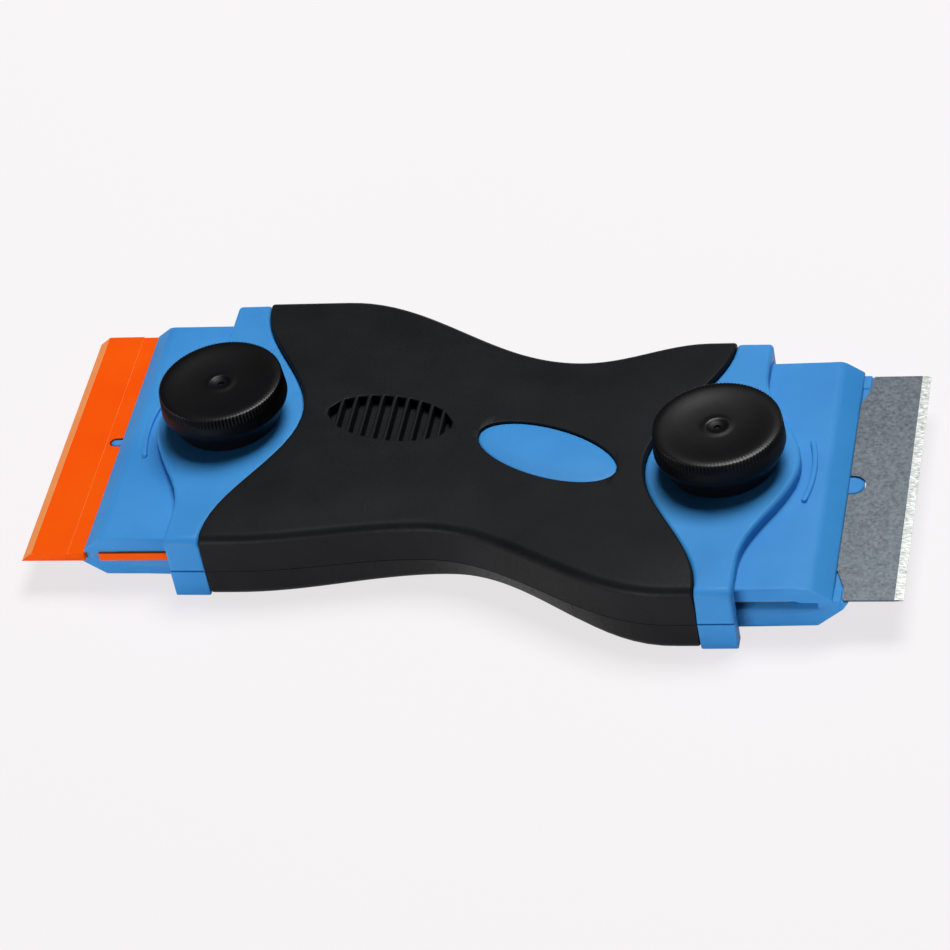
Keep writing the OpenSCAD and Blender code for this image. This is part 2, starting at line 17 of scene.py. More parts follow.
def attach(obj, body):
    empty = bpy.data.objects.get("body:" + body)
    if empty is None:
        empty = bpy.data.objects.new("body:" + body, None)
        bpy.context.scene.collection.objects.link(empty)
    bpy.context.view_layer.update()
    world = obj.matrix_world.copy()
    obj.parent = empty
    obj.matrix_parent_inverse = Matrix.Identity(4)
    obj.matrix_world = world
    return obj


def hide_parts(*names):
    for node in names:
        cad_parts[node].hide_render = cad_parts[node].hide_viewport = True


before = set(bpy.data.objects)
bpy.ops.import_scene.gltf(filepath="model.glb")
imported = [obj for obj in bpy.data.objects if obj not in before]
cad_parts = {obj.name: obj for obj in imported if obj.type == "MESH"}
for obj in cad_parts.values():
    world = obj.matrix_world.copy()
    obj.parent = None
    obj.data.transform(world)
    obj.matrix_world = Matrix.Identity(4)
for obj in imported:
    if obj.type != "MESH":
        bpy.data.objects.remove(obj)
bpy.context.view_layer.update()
MM = 0.001

# %% [markdown]
# ## The camera
#
# The photo was taken from the front right, about 40 degrees above the table, with a long lens and a
# little roll. A camera's matrix has three columns: its right, its up and its backward direction. We
# build these from the three angles, and put the camera back along the third of them.

# %% Camera
AZIMUTH, ELEVATION, ROLL = 0.3002, 0.69268, -0.2063
DISTANCE = 462.41 * MM
TARGET = Vector((-0.028, -1.067, 4.1)) * MM
FOCAL_PIXELS, IMAGE_PIXELS, SENSOR = 3988, 950, 36.0

back = Vector((math.sin(AZIMUTH) * math.cos(ELEVATION), -math.cos(AZIMUTH) * math.cos(ELEVATION),
               math.sin(ELEVATION)))
level_right = (-back).cross(Vector((0, 0, 1))).normalized()
level_up = level_right.cross(-back)
right = math.cos(ROLL) * level_right + math.sin(ROLL) * level_up
up = math.cos(ROLL) * level_up - math.sin(ROLL) * level_right

camera_data = bpy.data.cameras.new("camera")
camera_data.sensor_width = SENSOR
camera_data.lens = FOCAL_PIXELS / IMAGE_PIXELS * SENSOR
camera = bpy.data.objects.new("camera", camera_data)
bpy.context.scene.collection.objects.link(camera)
turn = Matrix((right, up, back)).transposed().to_4x4()
camera.matrix_world = Matrix.Translation(TARGET + DISTANCE * back) @ turn
bpy.context.scene.camera = camera
bpy.context.scene.view_settings.view_transform = "Standard"
print("camera at", [round(value, 4) for value in camera.location], "m, lens", round(camera_data.lens), "mm")

# %% [markdown]
# ## Nodes and colours
#
# Colours are easiest to read as the hex codes of a paint program, but the shader wants linear light, so
# one function converts them. A second one adds a shader node, sets its options, and fills each of its
# sockets with a value or with a link from another node. The third one makes a surface out of noise, which
# seldom leaves the range from 0.3 to 0.7: it spreads one noise over two colours, and another one over two
# degrees of gloss and a slight relief.

# %% Helpers for materials
NOISE_RANGE = (0.3, 0.7)


def linear(code):
    parts = [int(code[i:i + 2], 16) / 255 for i in (1, 3, 5)]
    return tuple(p / 12.92 if p <= 0.04045 else ((p + 0.055) / 1.055) ** 2.4 for p in parts) + (1.0,)


def add(tree, kind, sockets, **options):
    node = tree.nodes.new("ShaderNode" + kind)
    for name, value in options.items():
        setattr(node, name, value)
    for name, value in sockets.items():
        if isinstance(value, bpy.types.NodeSocket):
            tree.links.new(value, node.inputs[name])
        else:
            node.inputs[name].default_value = value
    return node


def dress(tree, patches, colours, span, grain, glossy, matt, height_mm):
    tone = add(tree, "ValToRGB", {"Fac": patches.outputs["Fac"]})
    for stop, position, code in zip(tone.color_ramp.elements, span, colours):
        stop.position = position
        stop.color = linear(code)
    gloss = add(tree, "MapRange", {"Value": grain.outputs["Fac"], "From Min": NOISE_RANGE[0],
                                   "From Max": NOISE_RANGE[1], "To Min": glossy, "To Max": matt})
    relief = add(tree, "Bump", {"Height": grain.outputs["Fac"], "Strength": 1.0, "Distance": height_mm * MM})
    shader = tree.nodes["Principled BSDF"]
    tree.links.new(tone.outputs["Color"], shader.inputs["Base Color"])
    tree.links.new(gloss.outputs["Result"], shader.inputs["Roughness"])
    tree.links.new(relief.outputs["Normal"], shader.inputs["Normal"])


print("pale blue in linear light:", [round(part, 3) for part in linear("#4196DB")])

# %% [markdown]
# ## The moulded finishes
#
# Four of the materials come out of an injection mould: the blue polypropylene of the holders, the soft
# black elastomer of the grip, the hard black nylon of the knobs and the orange acetal of the blade. They
# differ in colour and gloss, but the mould leaves the same two traces on all of them: a cloudy change of
# tone a few millimetres wide, and a spark-eroded grain of a few tenths of a millimetre. So one function
# makes them all. Noise on Object coordinates is measured in metres here, so a pattern of so many
# millimetres has a scale of 1000 divided by that size. The nylon comes in two finishes. The acetal also
# has a second, paler copy, and that pale tone is painted light on its thin edges.


# %% A moulded surface
def moulded(name, dark, pale, cloud_mm, grain_mm, grain_height_mm, matt, glossy, **constants):
    made = bpy.data.materials.new(name)
    made.use_nodes = True
    tree = made.node_tree
    shader = tree.nodes["Principled BSDF"]
    for socket, value in constants.items():
        shader.inputs[socket.replace("_", " ")].default_value = value
    place = add(tree, "TexCoord", {}).outputs["Object"]
    cloud = add(tree, "TexNoise", {"Vector": place, "Scale": 1000 / cloud_mm, "Detail": 3.0})
    grain = add(tree, "TexNoise", {"Vector": place, "Scale": 1000 / grain_mm, "Detail": 2.0})
    dress(tree, cloud, (dark, pale), NOISE_RANGE, grain, glossy, matt, grain_height_mm)
    return made


# Polypropylene: waxy and a little translucent, so edges glow and shadows on it stay blue
blue_plastic = moulded("polypropylene_blue_moulded", "#388DD3", "#4196DB", 9, 0.3, 0.002, 0.55, 0.42,
                       Subsurface_Weight=0.25, Subsurface_Radius=(0.4, 0.8, 1.2), Subsurface_Scale=MM,
                       Specular_IOR_Level=0.2)
# Thermoplastic elastomer: matt black, with a fine dry grain that greys where the floor shines on it
black_rubber = moulded("elastomer_black_grained", "#141517", "#1B1C1E", 6, 0.35, 0.012, 0.52, 0.4,
                       Specular_IOR_Level=0.1)
# Nylon: deeper black and glossier, so the lamp shows in it as soft rings
black_plastic = moulded("nylon_black_moulded", "#070709", "#0B0B0E", 5, 0.25, 0.002, 0.46, 0.34,
                        Specular_IOR_Level=0.12)
# The same nylon where the mould was polished: the lamp glints on the rim
black_polished = moulded("nylon_black_polished", "#070709", "#0A0A0D", 5, 0.4, 0.0001, 0.31, 0.29,
                         Specular_IOR_Level=0.25)
# Acetal: strong even orange with a satin skin
orange_plastic = moulded("acetal_orange_moulded", "#FF5400", "#FF5E02", 8, 0.3, 0.002, 0.5, 0.4,
                         Subsurface_Weight=0.1, Subsurface_Radius=(1.2, 0.5, 0.2), Subsurface_Scale=MM,
                         Specular_IOR_Level=0.06)
# The same acetal on its thin edges: rubbed matt, and a paler orange that is painted light, standing in for
# light shining through the thin edge
orange_edge_painted_light = moulded("acetal_orange_painted_edge_light", "#FF8C2E", "#FF9A3C", 5, 0.25, 0.004, 0.6, 0.45,
                      Specular_IOR_Level=0.6)
print("moulded finishes:", len(bpy.data.materials))

# %% [markdown]
# ## The steels
#
# A scraper blade is rolled strip with a dull, slightly blotchy grey skin, and only its edges are ground
# bright. The grinding wheel runs square to the edge and leaves its scratches in that direction, so the
# Mapping node stretches the noise along the tool (X) and squeezes it across (Y). The hidden fasteners have
# a plain bright zinc plating.

# %% Rolled, ground and plated steel
STREAK_RANGE, STREAK_HEIGHT = (0.32, 0.68), 0.003


def steel(name, dark, pale, size_mm, matt, glossy, stretch):
    made = bpy.data.materials.new(name)
    made.use_nodes = True
    tree = made.node_tree
    tree.nodes["Principled BSDF"].inputs["Metallic"].default_value = 1.0
    place = add(tree, "TexCoord", {}).outputs["Object"]
    squeezed = add(tree, "Mapping", {"Vector": place, "Scale": stretch})
    streak = add(tree, "TexNoise", {"Vector": squeezed.outputs["Vector"], "Scale": 1000 / size_mm,
                                    "Detail": 4.0, "Roughness": 0.65})
    dress(tree, streak, (dark, pale), STREAK_RANGE, streak, glossy, matt, STREAK_HEIGHT)
    return made


# Rolled carbon steel: dull blue-grey with fine blotches
blade_steel = steel("carbon_steel_rolled", "#53595F", "#727980", 0.4, 0.5, 0.38, (1.0, 1.0, 1.0))
# Ground edge: nearly white, with scratches square to the edge
ground_steel = steel("carbon_steel_ground", "#7E8280", "#DDE0DD", 0.3, 0.6, 0.4, (0.6, 1.6, 1.0))
# Zinc plating: bright, with a soft spangle
zinc = steel("steel_zinc_plated", "#A9AFB4", "#C3C8CC", 0.8, 0.4, 0.28, (1.0, 1.0, 1.0))
print("steels:", blade_steel.name, ground_steel.name, zinc.name)

# %% [markdown]
# ## From a bmesh to a piece
#
# We draw in millimetres, as the CAD model's source does, and scale to metres at the end. A piece is then
# smooth shaded except across edges sharper than 38 degrees, rides on its CAD body, and hides the plain
# CAD node that it stands for. The second helper starts a piece from a CAD node: its triangles are loose,
# so a copy is welded first, and the flat faces are joined again so that a bevel has clean edges to work
# on. The others find edges and round them.

# %% Finish a piece, start one from the CAD, and round its edges
SHARP, FLAT, WELD = math.radians(38), math.radians(1), 0.002


def finish_piece(name, bm, body, slot, materials, *nodes):
    bmesh.ops.scale(bm, vec=(MM, MM, MM), verts=bm.verts)
    mesh = bpy.data.meshes.new(name)
    bm.to_mesh(mesh)
    bm.free()
    for material in materials:
        mesh.materials.append(material)
    mesh.shade_smooth()
    mesh.set_sharp_from_angle(angle=SHARP)
    piece = bpy.data.objects.new(name, mesh)
    bpy.context.scene.collection.objects.link(piece)
    shading = piece.modifiers.new("flat faces stay flat", "WEIGHTED_NORMAL")
    shading.keep_sharp = True
    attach(piece, body)
    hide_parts(*nodes)
    print(name, "has", sum(len(face.vertices) - 2 for face in mesh.polygons), "triangles")
    return piece


def copy_of(node):
    bm = bmesh.new()
    bm.from_mesh(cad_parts[node].data)
    bmesh.ops.scale(bm, vec=(1 / MM, 1 / MM, 1 / MM), verts=bm.verts)
    bmesh.ops.remove_doubles(bm, verts=bm.verts, dist=WELD)
    bmesh.ops.dissolve_limit(bm, angle_limit=FLAT, verts=bm.verts, edges=bm.edges)
    return bm


def round_over(bm, edges, width, segments):
    bmesh.ops.bevel(bm, geom=edges, offset=width, offset_type="OFFSET", segments=segments, profile=0.5,
                    affect="EDGES", clamp_overlap=False, material=-1)


def sharp_edges(bm, degrees=50):
    limit = math.radians(degrees)
    return [edge for edge in bm.edges if edge.is_manifold and edge.calc_face_angle() > limit]


def edges_where(bm, test, degrees=50):
    return [edge for edge in sharp_edges(bm, degrees) if all(test(vert.co) for vert in edge.verts)]


def near(value, goal, reach=0.01):
    return abs(value - goal) < reach


# %% [markdown]
# ## The plan of the handle
#
# Seen from above, each long edge of the grip swings from a narrow end through a waist to a wide end, and
# each short edge follows the curve behind a knob's pad. These few functions are the same as in the CAD
# model's source: a smooth step, the two long edges at the seam (low = 0) and at the underside (low = 1),
# and the two end curves. A waist has three numbers: its place along the tool, its distance from the middle
# line, and the place where the edge has swung out to its full width.

# %% Curves of the plan, in millimetres
KNOB_X, END_SHIFT = 30.0, 4.55
LEG_BACK, LEG_FRONT, PAD_BACK, BACK_RUN, LEG_HALF = -0.8, 3.4, 8.1, 21.07, 21.5
NARROW, WIDE, SHOULDER = 17.15, 26.25, 26.0
FRONT_WAIST, REAR_WAIST = (-4.0, 15.2, SHOULDER), (-11.5, 13.9, 19.5)
UNDERCUT, LAG = 1.1, 3.0
STRAP_GAP, SLOPE_STEP = 0.06, 0.05


def mix(a, b, share):
    return a + (b - a) * share


def ease(share):
    return (1 - math.cos(math.pi * min(1, max(0, share)))) / 2


def long_edge(x, waist, low):
    waist_x, waist_y, wide_x = waist[0] + LAG * low, waist[1] - UNDERCUT * low, waist[2]
    if x < waist_x:
        return mix(waist_y, NARROW, ease((waist_x - x) / (waist_x + SHOULDER)))
    return mix(waist_y, WIDE, ease((x - waist_x) / (wide_x - waist_x)))


def front_y(x, low):
    return -long_edge(x, FRONT_WAIST, low)


def rear_y(x, low):
    return long_edge(-x, REAR_WAIST, low)


def steepness(edge, x, low):
    return math.hypot(1, (edge(x + SLOPE_STEP, low) - edge(x - SLOPE_STEP, low)) / (2 * SLOPE_STEP))


def end_x(side, y):
    across = abs(side * y + END_SHIFT)
    return side * (KNOB_X + LEG_BACK - PAD_BACK * ease(1 - across / BACK_RUN) - STRAP_GAP)


behind_knobs = [round(end_x(side, -side * END_SHIFT), 1) for side in (-1, 1)]
print("behind the knobs the grip runs from", behind_knobs[0], "to", behind_knobs[1], "mm")

# %% [markdown]
# ## A grid that fits round openings
#
# The grip is a soft skin with a rounded rim and some openings: an oval window and ten slots on top, two
# screw wells below. A boolean could cut them, but it leaves slivers that a bevel can't round. Instead we
# begin with a plain grid and bend it: the end columns follow the end curves, the outer rows follow the
# long edges, and a band of rows in the middle squeezes and spreads to follow each oval. Then an opening
# is simply a block of faces. Beyond the openings some more columns change step by step from an oval's
# straight side to the end curve. A point's x and y depend on each other there, so we find them by turns.

# %% The bent grid
RIM, LOW_ROW, HIGH_ROW, LAST_ROW = 1.5, 9, 19, 28
END_SHARES = (1.0, 0.82, 0.7, 0.58, 0.46, 0.35, 0.24, 0.12)
END_STEP, LEFT_BAND, RIGHT_BAND = 0.3, (-4, 12), (-12, 4)
GRID_TURNS = 25


def oval_span(dx, length, width, degrees):
    c, s = math.cos(math.radians(degrees)), math.sin(math.radians(degrees))
    a, b = 4 / length ** 2, 4 / width ** 2
    square, cross = s * s * a + c * c * b, 2 * c * s * (a - b)
    rest = (c * c * a + s * s * b) * dx * dx - 1
    root = math.sqrt(max(0, (cross * dx) ** 2 - 4 * square * rest))
    return (-cross * dx - root) / (2 * square), (-cross * dx + root) / (2 * square)


def oval_columns(middle, length, width, degrees, offsets):
    columns = []
    for dx in offsets:
        low, high = oval_span(dx, length, width, degrees)
        columns.append((middle[0] + dx, 0.0, 1, middle[1] + low, middle[1] + high))
    return columns


def end_columns(column, side, band):
    base, low_y, high_y = column[0] + side * END_STEP, column[3], column[4]
    return [(base, share, side, mix(low_y, band[0], share), mix(high_y, band[1], share))
            for share in END_SHARES]


def with_ends(columns):
    left = end_columns(columns[0], -1, LEFT_BAND)
    right = end_columns(columns[-1], 1, RIGHT_BAND)
    return left + columns + right[::-1]


def between(a, b, count):
    return [tuple(mix(p, q, i / count) for p, q in zip(a, b)) for i in range(1, count)]


def row_y(x, row, low_y, high_y, low):
    front, rear = front_y(x, low), rear_y(x, low)
    knots = [(0, front), (1, front + RIM * steepness(front_y, x, low)), (LOW_ROW, low_y),
             (HIGH_ROW, high_y), (LAST_ROW - 1, rear - RIM * steepness(rear_y, x, low)), (LAST_ROW, rear)]
    for (row_a, y_a), (row_b, y_b) in zip(knots, knots[1:]):
        if row <= row_b:
            return mix(y_a, y_b, (row - row_a) / (row_b - row_a))


def grid_point(column, row, low):
    base, share, side, low_y, high_y = column
    x = base
    for _ in range(GRID_TURNS):
        y = row_y(x, row, low_y, high_y, low)
        x = base + share * (end_x(side, y) - base)
    return x, y


def bent_grid(columns, low, height):
    bm = bmesh.new()
    last = len(columns) - 1
    bmesh.ops.create_grid(bm, x_segments=last, y_segments=LAST_ROW, size=1.0)
    address = {}
    for vert in bm.verts:
        column, row = round((vert.co.x + 1) / 2 * last), round((vert.co.y + 1) / 2 * LAST_ROW)
        address[vert] = (column, row)
        x, y = grid_point(columns[column], row, low)
        vert.co = (x, y, height(x, y))
    return bm, address


def block(bm, address, first, last):
    inside = [vert for vert in bm.verts
              if first <= address[vert][0] <= last and LOW_ROW <= address[vert][1] <= HIGH_ROW]
    chosen = set(inside)
    return [face for face in bm.faces if all(vert in chosen for vert in face.verts)]


def sink(bm, faces, depth, lip, segments):
    inside = set(faces)
    rim = [edge for edge in {edge for face in faces for edge in face.edges}
           if not all(face in inside for face in edge.link_faces)]
    made = bmesh.ops.extrude_face_region(bm, geom=faces)["geom"]
    floor = [item for item in made if isinstance(item, bmesh.types.BMVert)]
    bmesh.ops.translate(bm, vec=(0, 0, depth), verts=floor)
    bmesh.ops.delete(bm, geom=[face for face in faces if face.is_valid], context="FACES_ONLY")
    round_over(bm, rim, lip, segments)


# %% [markdown]
# ## Walls and rims of the grip
#
# Each half of the grip is the bent grid with its border pulled down, or up, to the seam. Three kinds of
# edge are then rounded: the long rims generously, as the thumb feels them, the ends a little, where the
# skin dives beside the blue straps, and the seam just enough to show as a thin dark line round the side.

# %% Close a half of the grip
SEAM, TOP_EDGE, TOP_CROWN, CROWN_INSET, RIM_ROUND = 3.75, 8.85, 0.3, 7.0, 1.1
SEAM_ROUND, END_ROUND, SEAM_TURNS = 0.14, 0.3, 10


def at_end(point):
    return any(near(point.x, end_x(side, point.y), 0.04) for side in (-1, 1))


def close_half(bm, address, low):
    border = [edge for edge in bm.edges if edge.is_boundary]
    long_rim = [edge for edge in border if {address[vert][1] for vert in edge.verts} in ({0}, {LAST_ROW})]
    made = bmesh.ops.extrude_edge_only(bm, edges=border)["geom"]
    for vert in [item for item in made if isinstance(item, bmesh.types.BMVert)]:
        x, y = vert.co.x, vert.co.y
        share = (y - front_y(x, low)) / (rear_y(x, low) - front_y(x, low))
        for _ in range(SEAM_TURNS * low):
            y = mix(front_y(x, 0), rear_y(x, 0), share)
            if at_end(vert.co):
                x = end_x(math.copysign(1, x), y)
        vert.co = (x, y, SEAM)
    bmesh.ops.holes_fill(bm, edges=[edge for edge in bm.edges if edge.is_boundary], sides=0)
    bmesh.ops.recalc_face_normals(bm, faces=bm.faces)
    round_over(bm, long_rim, RIM_ROUND, 5)
    at_seam = [edge for edge in edges_where(bm, lambda point: near(point.z, SEAM))
               if not all(at_end(vert.co) for vert in edge.verts)]
    round_over(bm, at_seam, SEAM_ROUND, 2)
    end_rim = edges_where(bm, lambda point: at_end(point) and abs(point.z - SEAM) > END_ROUND)
    round_over(bm, end_rim, END_ROUND, 3)


def crown_z(x, y):
    inset = min((y - front_y(x, 0)) / steepness(front_y, x, 0), (rear_y(x, 0) - y) / steepness(rear_y, x, 0))
    share = min(1, max(0, (inset - RIM_ROUND) / (CROWN_INSET - RIM_ROUND)))
    return TOP_EDGE + TOP_CROWN * math.sin(math.pi / 2 * share)


# %% [markdown]
# ## The upper grip
#
# Ten slots lie in a leaning oval on the left, and the blue oval shows through a window on the right. The
# slots' walls are columns of the grid. The window's columns crowd towards its tips, like the points of a
# clock face seen from the side, because that is where an oval turns fastest.

# %% Upper grip
VENT = ((-10.2, 3.5), 15.8, 7.6, -13.5)
BADGE = ((9.5, -2.8), 18.6, 8.2, -25.0)
SLOTS, SLOT_WIDTH, SLOT_PITCH, SLOT_DEPTH, SLOT_LIP = 10, 1.1, 1.58, 1.3, 0.17
WINDOW_DEPTH, WINDOW_LIP = 1.45, 0.14
BADGE_ANGLES, COLUMNS_BETWEEN = range(8, 173, 4), 4
BADGE_TURN = math.radians(BADGE[3])
BADGE_HALF = math.hypot(BADGE[1] / 2 * math.cos(BADGE_TURN), BADGE[2] / 2 * math.sin(BADGE_TURN))

slot_walls = [(i - (SLOTS - 1) / 2) * SLOT_PITCH + side * SLOT_WIDTH / 2
              for i in range(SLOTS) for side in (-1, 1)]
vent_columns = oval_columns(*VENT, slot_walls)
badge_offsets = [-BADGE_HALF * math.cos(math.radians(angle)) for angle in BADGE_ANGLES]
badge_columns = oval_columns(*BADGE, badge_offsets)
gap_columns = between(vent_columns[-1], badge_columns[0], COLUMNS_BETWEEN)
columns = with_ends(vent_columns + gap_columns + badge_columns)
first_slot = columns.index(vent_columns[0])
first_badge, last_badge = columns.index(badge_columns[0]), columns.index(badge_columns[-1])

bm, address = bent_grid(columns, 0, crown_z)
slots = [block(bm, address, first_slot + 2 * i, first_slot + 2 * i + 1) for i in range(SLOTS)]
window = block(bm, address, first_badge, last_badge)
close_half(bm, address, 0)
for faces in slots:
    sink(bm, faces, -SLOT_DEPTH, SLOT_LIP, 3)
sink(bm, window, -WINDOW_DEPTH, WINDOW_LIP, 2)
finish_piece("grip_upper", bm, "handle", "black_rubber", [black_rubber], "upper_grip")

# %% [markdown]
# ## The lower grip
#
# The underside is flat, because the tool rests on it, and its waist is drawn in more than the seam's, so
# the side leans inwards there. Two round wells let a screwdriver reach the screws.

# %% Lower grip
WELL_RADIUS, WELL_DEPTH, WELL_LIP = 2.65, 1.9, 0.2
WELL_ANGLES, COLUMNS_BETWEEN_WELLS = range(10, 171, 8), 18
wells = [(place, 2 * WELL_RADIUS, 2 * WELL_RADIUS, 0.0) for place in ((-12.0, 3.0), (12.0, -3.0))]
well_offsets = [-WELL_RADIUS * math.cos(math.radians(angle)) for angle in WELL_ANGLES]
left_well, right_well = [oval_columns(*well, well_offsets) for well in wells]
gap_columns = between(left_well[-1], right_well[0], COLUMNS_BETWEEN_WELLS)
columns = with_ends(left_well + gap_columns + right_well)

bm, address = bent_grid(columns, 1, lambda x, y: 0.0)
well_faces = [block(bm, address, columns.index(well[0]), columns.index(well[-1]))
              for well in (left_well, right_well)]
close_half(bm, address, 1)
for faces in well_faces:
    sink(bm, faces, WELL_DEPTH, WELL_LIP, 3)
finish_piece("grip_lower", bm, "handle", "black_rubber", [black_rubber], "lower_grip")

# %% [markdown]
# ## The blue cores
#
# The straps, their legs and the blue oval are part of two half shells that fill the grip. The CAD model
# has their shape already, so we take a copy and only soften it. The edges of the straps and upper legs are
# rounded by half a millimetre, those of the lower legs by less, because a bevel has to stay smaller than
# the round foot that it runs along. Where the halves meet, both edges are rounded, which draws the parting
# line, and the edges inside that rounding are then left alone. The legs lean out a little towards the
# grip, to end flush with its side. The oval gets a rounded rim and a dome: its top face is extruded in
# rings, each one smaller and higher than the last.

# %% Cores
STRAP_TOP, LEG_ROUND, FOOT, FOOT_ROUND, LEG_INNER = 8.55, 1.0, 0.0, 0.3, 19.95
LEAN_BACK, LEAN_FRONT, LEAN_FROM = 0.18, -0.15, 0.4
STRAP_SOFT, STRAP_PARTING, FOOT_SOFT, FOOT_PARTING = 0.5, 0.35, 0.22, 0.12
OVAL_ROUND, DOME, DOME_RINGS = 0.35, 0.25, (0.93, 0.8, 0.6, 0.4, 0.2)
KNOB_HOLE = 4


def strap_place(point):
    side = math.copysign(1, point.x)
    return side * point.x - KNOB_X, side * point.y + END_SHIFT


def on_skin(point, level, radius, up):
    u, v = strap_place(point)
    below, beyond = up * (level - point.z), abs(v) - (LEG_HALF - radius)
    if u < -LEG_HALF / 2 or math.hypot(u, v) < KNOB_HOLE:
        return False
    if beyond > 0 and below < radius:
        return near(math.hypot(beyond, radius - below), radius, 0.03)
    return near(below, 0) or near(abs(v), LEG_HALF)


def at_parting(point):
    u, v = strap_place(point)
    return near(point.z, SEAM) and u > LEG_BACK - 0.01 and abs(v) > LEG_INNER - 0.01


def soften_skin(bm, level, radius, up, parting, width):
    round_over(bm, edges_where(bm, at_parting), parting, 3)
    edges = [edge for edge in edges_where(bm, lambda point: on_skin(point, level, radius, up))
             if any(abs(vert.co.z - SEAM) > 1.5 * parting for vert in edge.verts)]
    round_over(bm, edges, width, 4)
    return len(edges)


def flare_legs(bm):
    for vert in bm.verts:
        u, v = strap_place(vert.co)
        if LEG_BACK - 0.1 < u < LEG_FRONT + 0.1 and abs(v) > LEG_INNER + LEAN_FROM:
            out = mix(LEAN_BACK, LEAN_FRONT, (u - LEG_BACK) / (LEG_FRONT - LEG_BACK))
            vert.co.y += math.copysign(out, vert.co.x * v)


bm = copy_of("upper_core")
softened = soften_skin(bm, STRAP_TOP, LEG_ROUND, 1, STRAP_PARTING, STRAP_SOFT)
print("rounded", softened, "edges of the straps")
round_over(bm, edges_where(bm, lambda point: near(point.z, TOP_EDGE)), OVAL_ROUND, 3)
top = max(bm.faces, key=lambda face: face.calc_center_median().z)
middle, size, height = top.calc_center_median(), 1.0, 0.0
for share in DOME_RINGS:
    top = bmesh.ops.extrude_discrete_faces(bm, faces=[top])["faces"][0]
    rise = DOME * (1 - share ** 2)
    bmesh.ops.scale(bm, vec=(share / size, share / size, 1), space=Matrix.Translation(-middle),
                    verts=top.verts)
    bmesh.ops.translate(bm, vec=(0, 0, rise - height), verts=top.verts)
    size, height = share, rise
flare_legs(bm)
finish_piece("core_upper", bm, "handle", "blue_plastic", [blue_plastic], "upper_core")

bm = copy_of("lower_core")
softened = soften_skin(bm, FOOT, FOOT_ROUND, -1, FOOT_PARTING, FOOT_SOFT)
print("rounded", softened, "edges of the lower legs")
flare_legs(bm)
finish_piece("core_lower", bm, "handle", "blue_plastic", [blue_plastic], "lower_core")

# %% [markdown]
# ## The jaws
#
# Each blade lies between two blue plates. They are plain mouldings, so a softened copy of the CAD solid is
# enough. Each kind of edge is picked by its place and gets a radius of its own: the raised arc, the top of
# the front slope, the lip, the long sides, and the peg that the blade hangs on. Above the thin steel blade
# the plate's lower edge is rounded most, so that the side of the blade shows in the gap. That rounding
# stops before the slope: a cut with a plane first gives the edge a vertex there.

# %% Jaws
UPPER_HALF, LOWER_HALF = 19.5, 19.2
JAW_FLOOR, CLAMP, JAW_TOP, ARC_TOP = 1.2, 5.0, 7.0, 7.4
SLOPE_START, LIP, LIFT_END = 11.725, 14.025, 10.0
ARC_SOFT, SLOPE_SOFT, LIP_SOFT, SIDE_SOFT, FLOOR_SOFT, PEG_SOFT = 0.2, 0.6, 0.2, 0.5, 0.3, 0.3
LEFT_LIFT, RIGHT_LIFT = 0.12, 0.45
PEG_HALF, PEG_BACK = 3, 5


def on_side(point, half):
    return near(abs(strap_place(point)[1]), half)


for end, side, lift in (("left", -1, LEFT_LIFT), ("right", 1, RIGHT_LIFT)):
    bm = copy_of(f"{end}_upper_jaw")
    round_over(bm, edges_where(bm, lambda p: near(p.z, ARC_TOP)), ARC_SOFT, 3)
    slope = edges_where(bm, lambda p: near(p.z, JAW_TOP) and near(strap_place(p)[0], SLOPE_START), 20)
    round_over(bm, slope, SLOPE_SOFT, 4)
    lip = edges_where(bm, lambda p: near(strap_place(p)[0], LIP) and p.z > CLAMP + 0.01, 20)
    round_over(bm, lip, LIP_SOFT, 3)
    upper_side = edges_where(bm, lambda p: on_side(p, UPPER_HALF) and near(p.z, JAW_TOP))
    round_over(bm, upper_side, SIDE_SOFT, 4)
    bmesh.ops.bisect_plane(bm, geom=bm.verts[:] + bm.edges[:] + bm.faces[:], dist=0.001,
                           plane_co=(side * (KNOB_X + LIFT_END), 0, 0), plane_no=(1, 0, 0))
    lifted = edges_where(bm, lambda p: on_side(p, UPPER_HALF) and near(p.z, CLAMP)
                         and strap_place(p)[0] < LIFT_END + 0.01)
    round_over(bm, lifted, lift, 4)
    finish_piece(f"upper_jaw_{end}", bm, "handle", "blue_plastic", [blue_plastic], f"{end}_upper_jaw")

    bm = copy_of(f"{end}_lower_jaw")
    lower_side = edges_where(bm, lambda p: on_side(p, LOWER_HALF) and near(p.z, JAW_FLOOR))
    round_over(bm, lower_side, FLOOR_SOFT, 3)
    peg_top = edges_where(bm, lambda p: near(p.z, CLAMP) and abs(strap_place(p)[1]) < PEG_HALF
                          and strap_place(p)[0] > PEG_BACK)
    round_over(bm, peg_top, PEG_SOFT, 3)
    finish_piece(f"lower_jaw_{end}", bm, f"{end}_clamp", "blue_plastic", [blue_plastic], f"{end}_lower_jaw")

# %% [markdown]
# ## The blades
#
# The steel blade is ground along both edges. The plastic one has a single chisel edge, and a thicker front
# strip that ends in a thin step before the jaw. Bevels take a second material: bare ground steel on one
# blade, and on the other a paler orange whose pale tone is a painted highlight, for light through the thin
# edge. The step's edge is softened to one narrow face of that kind, which makes a thin painted highlight
# line. A face belongs to a bevel if it leans, but still looks mostly up or down.

# %% Blades
STEP_PLACE, STEP_TOP, STEP_SOFT = 15.925, 5.12, 0.05
BEVEL_LEAST, BEVEL_MOST = 0.7, 0.9995

for node, body, slot, finishes in (
        ("plastic_blade", "left_clamp", "orange_plastic", [orange_plastic, orange_edge_painted_light]),
        ("steel_blade", "right_clamp", "blade_steel", [blade_steel, ground_steel])):
    bm = copy_of(node)
    step = edges_where(bm, lambda p: near(p.z, STEP_TOP) and near(strap_place(p)[0], STEP_PLACE))
    round_over(bm, step, STEP_SOFT, 1)
    for face in bm.faces:
        # bevel faces get the second material: ground steel, or on the plastic blade a paler orange that is
        # painted highlight
        face.material_index = int(BEVEL_LEAST < abs(face.normal.z) < BEVEL_MOST)
    finish_piece(node + "_dressed", bm, body, slot, finishes, node)

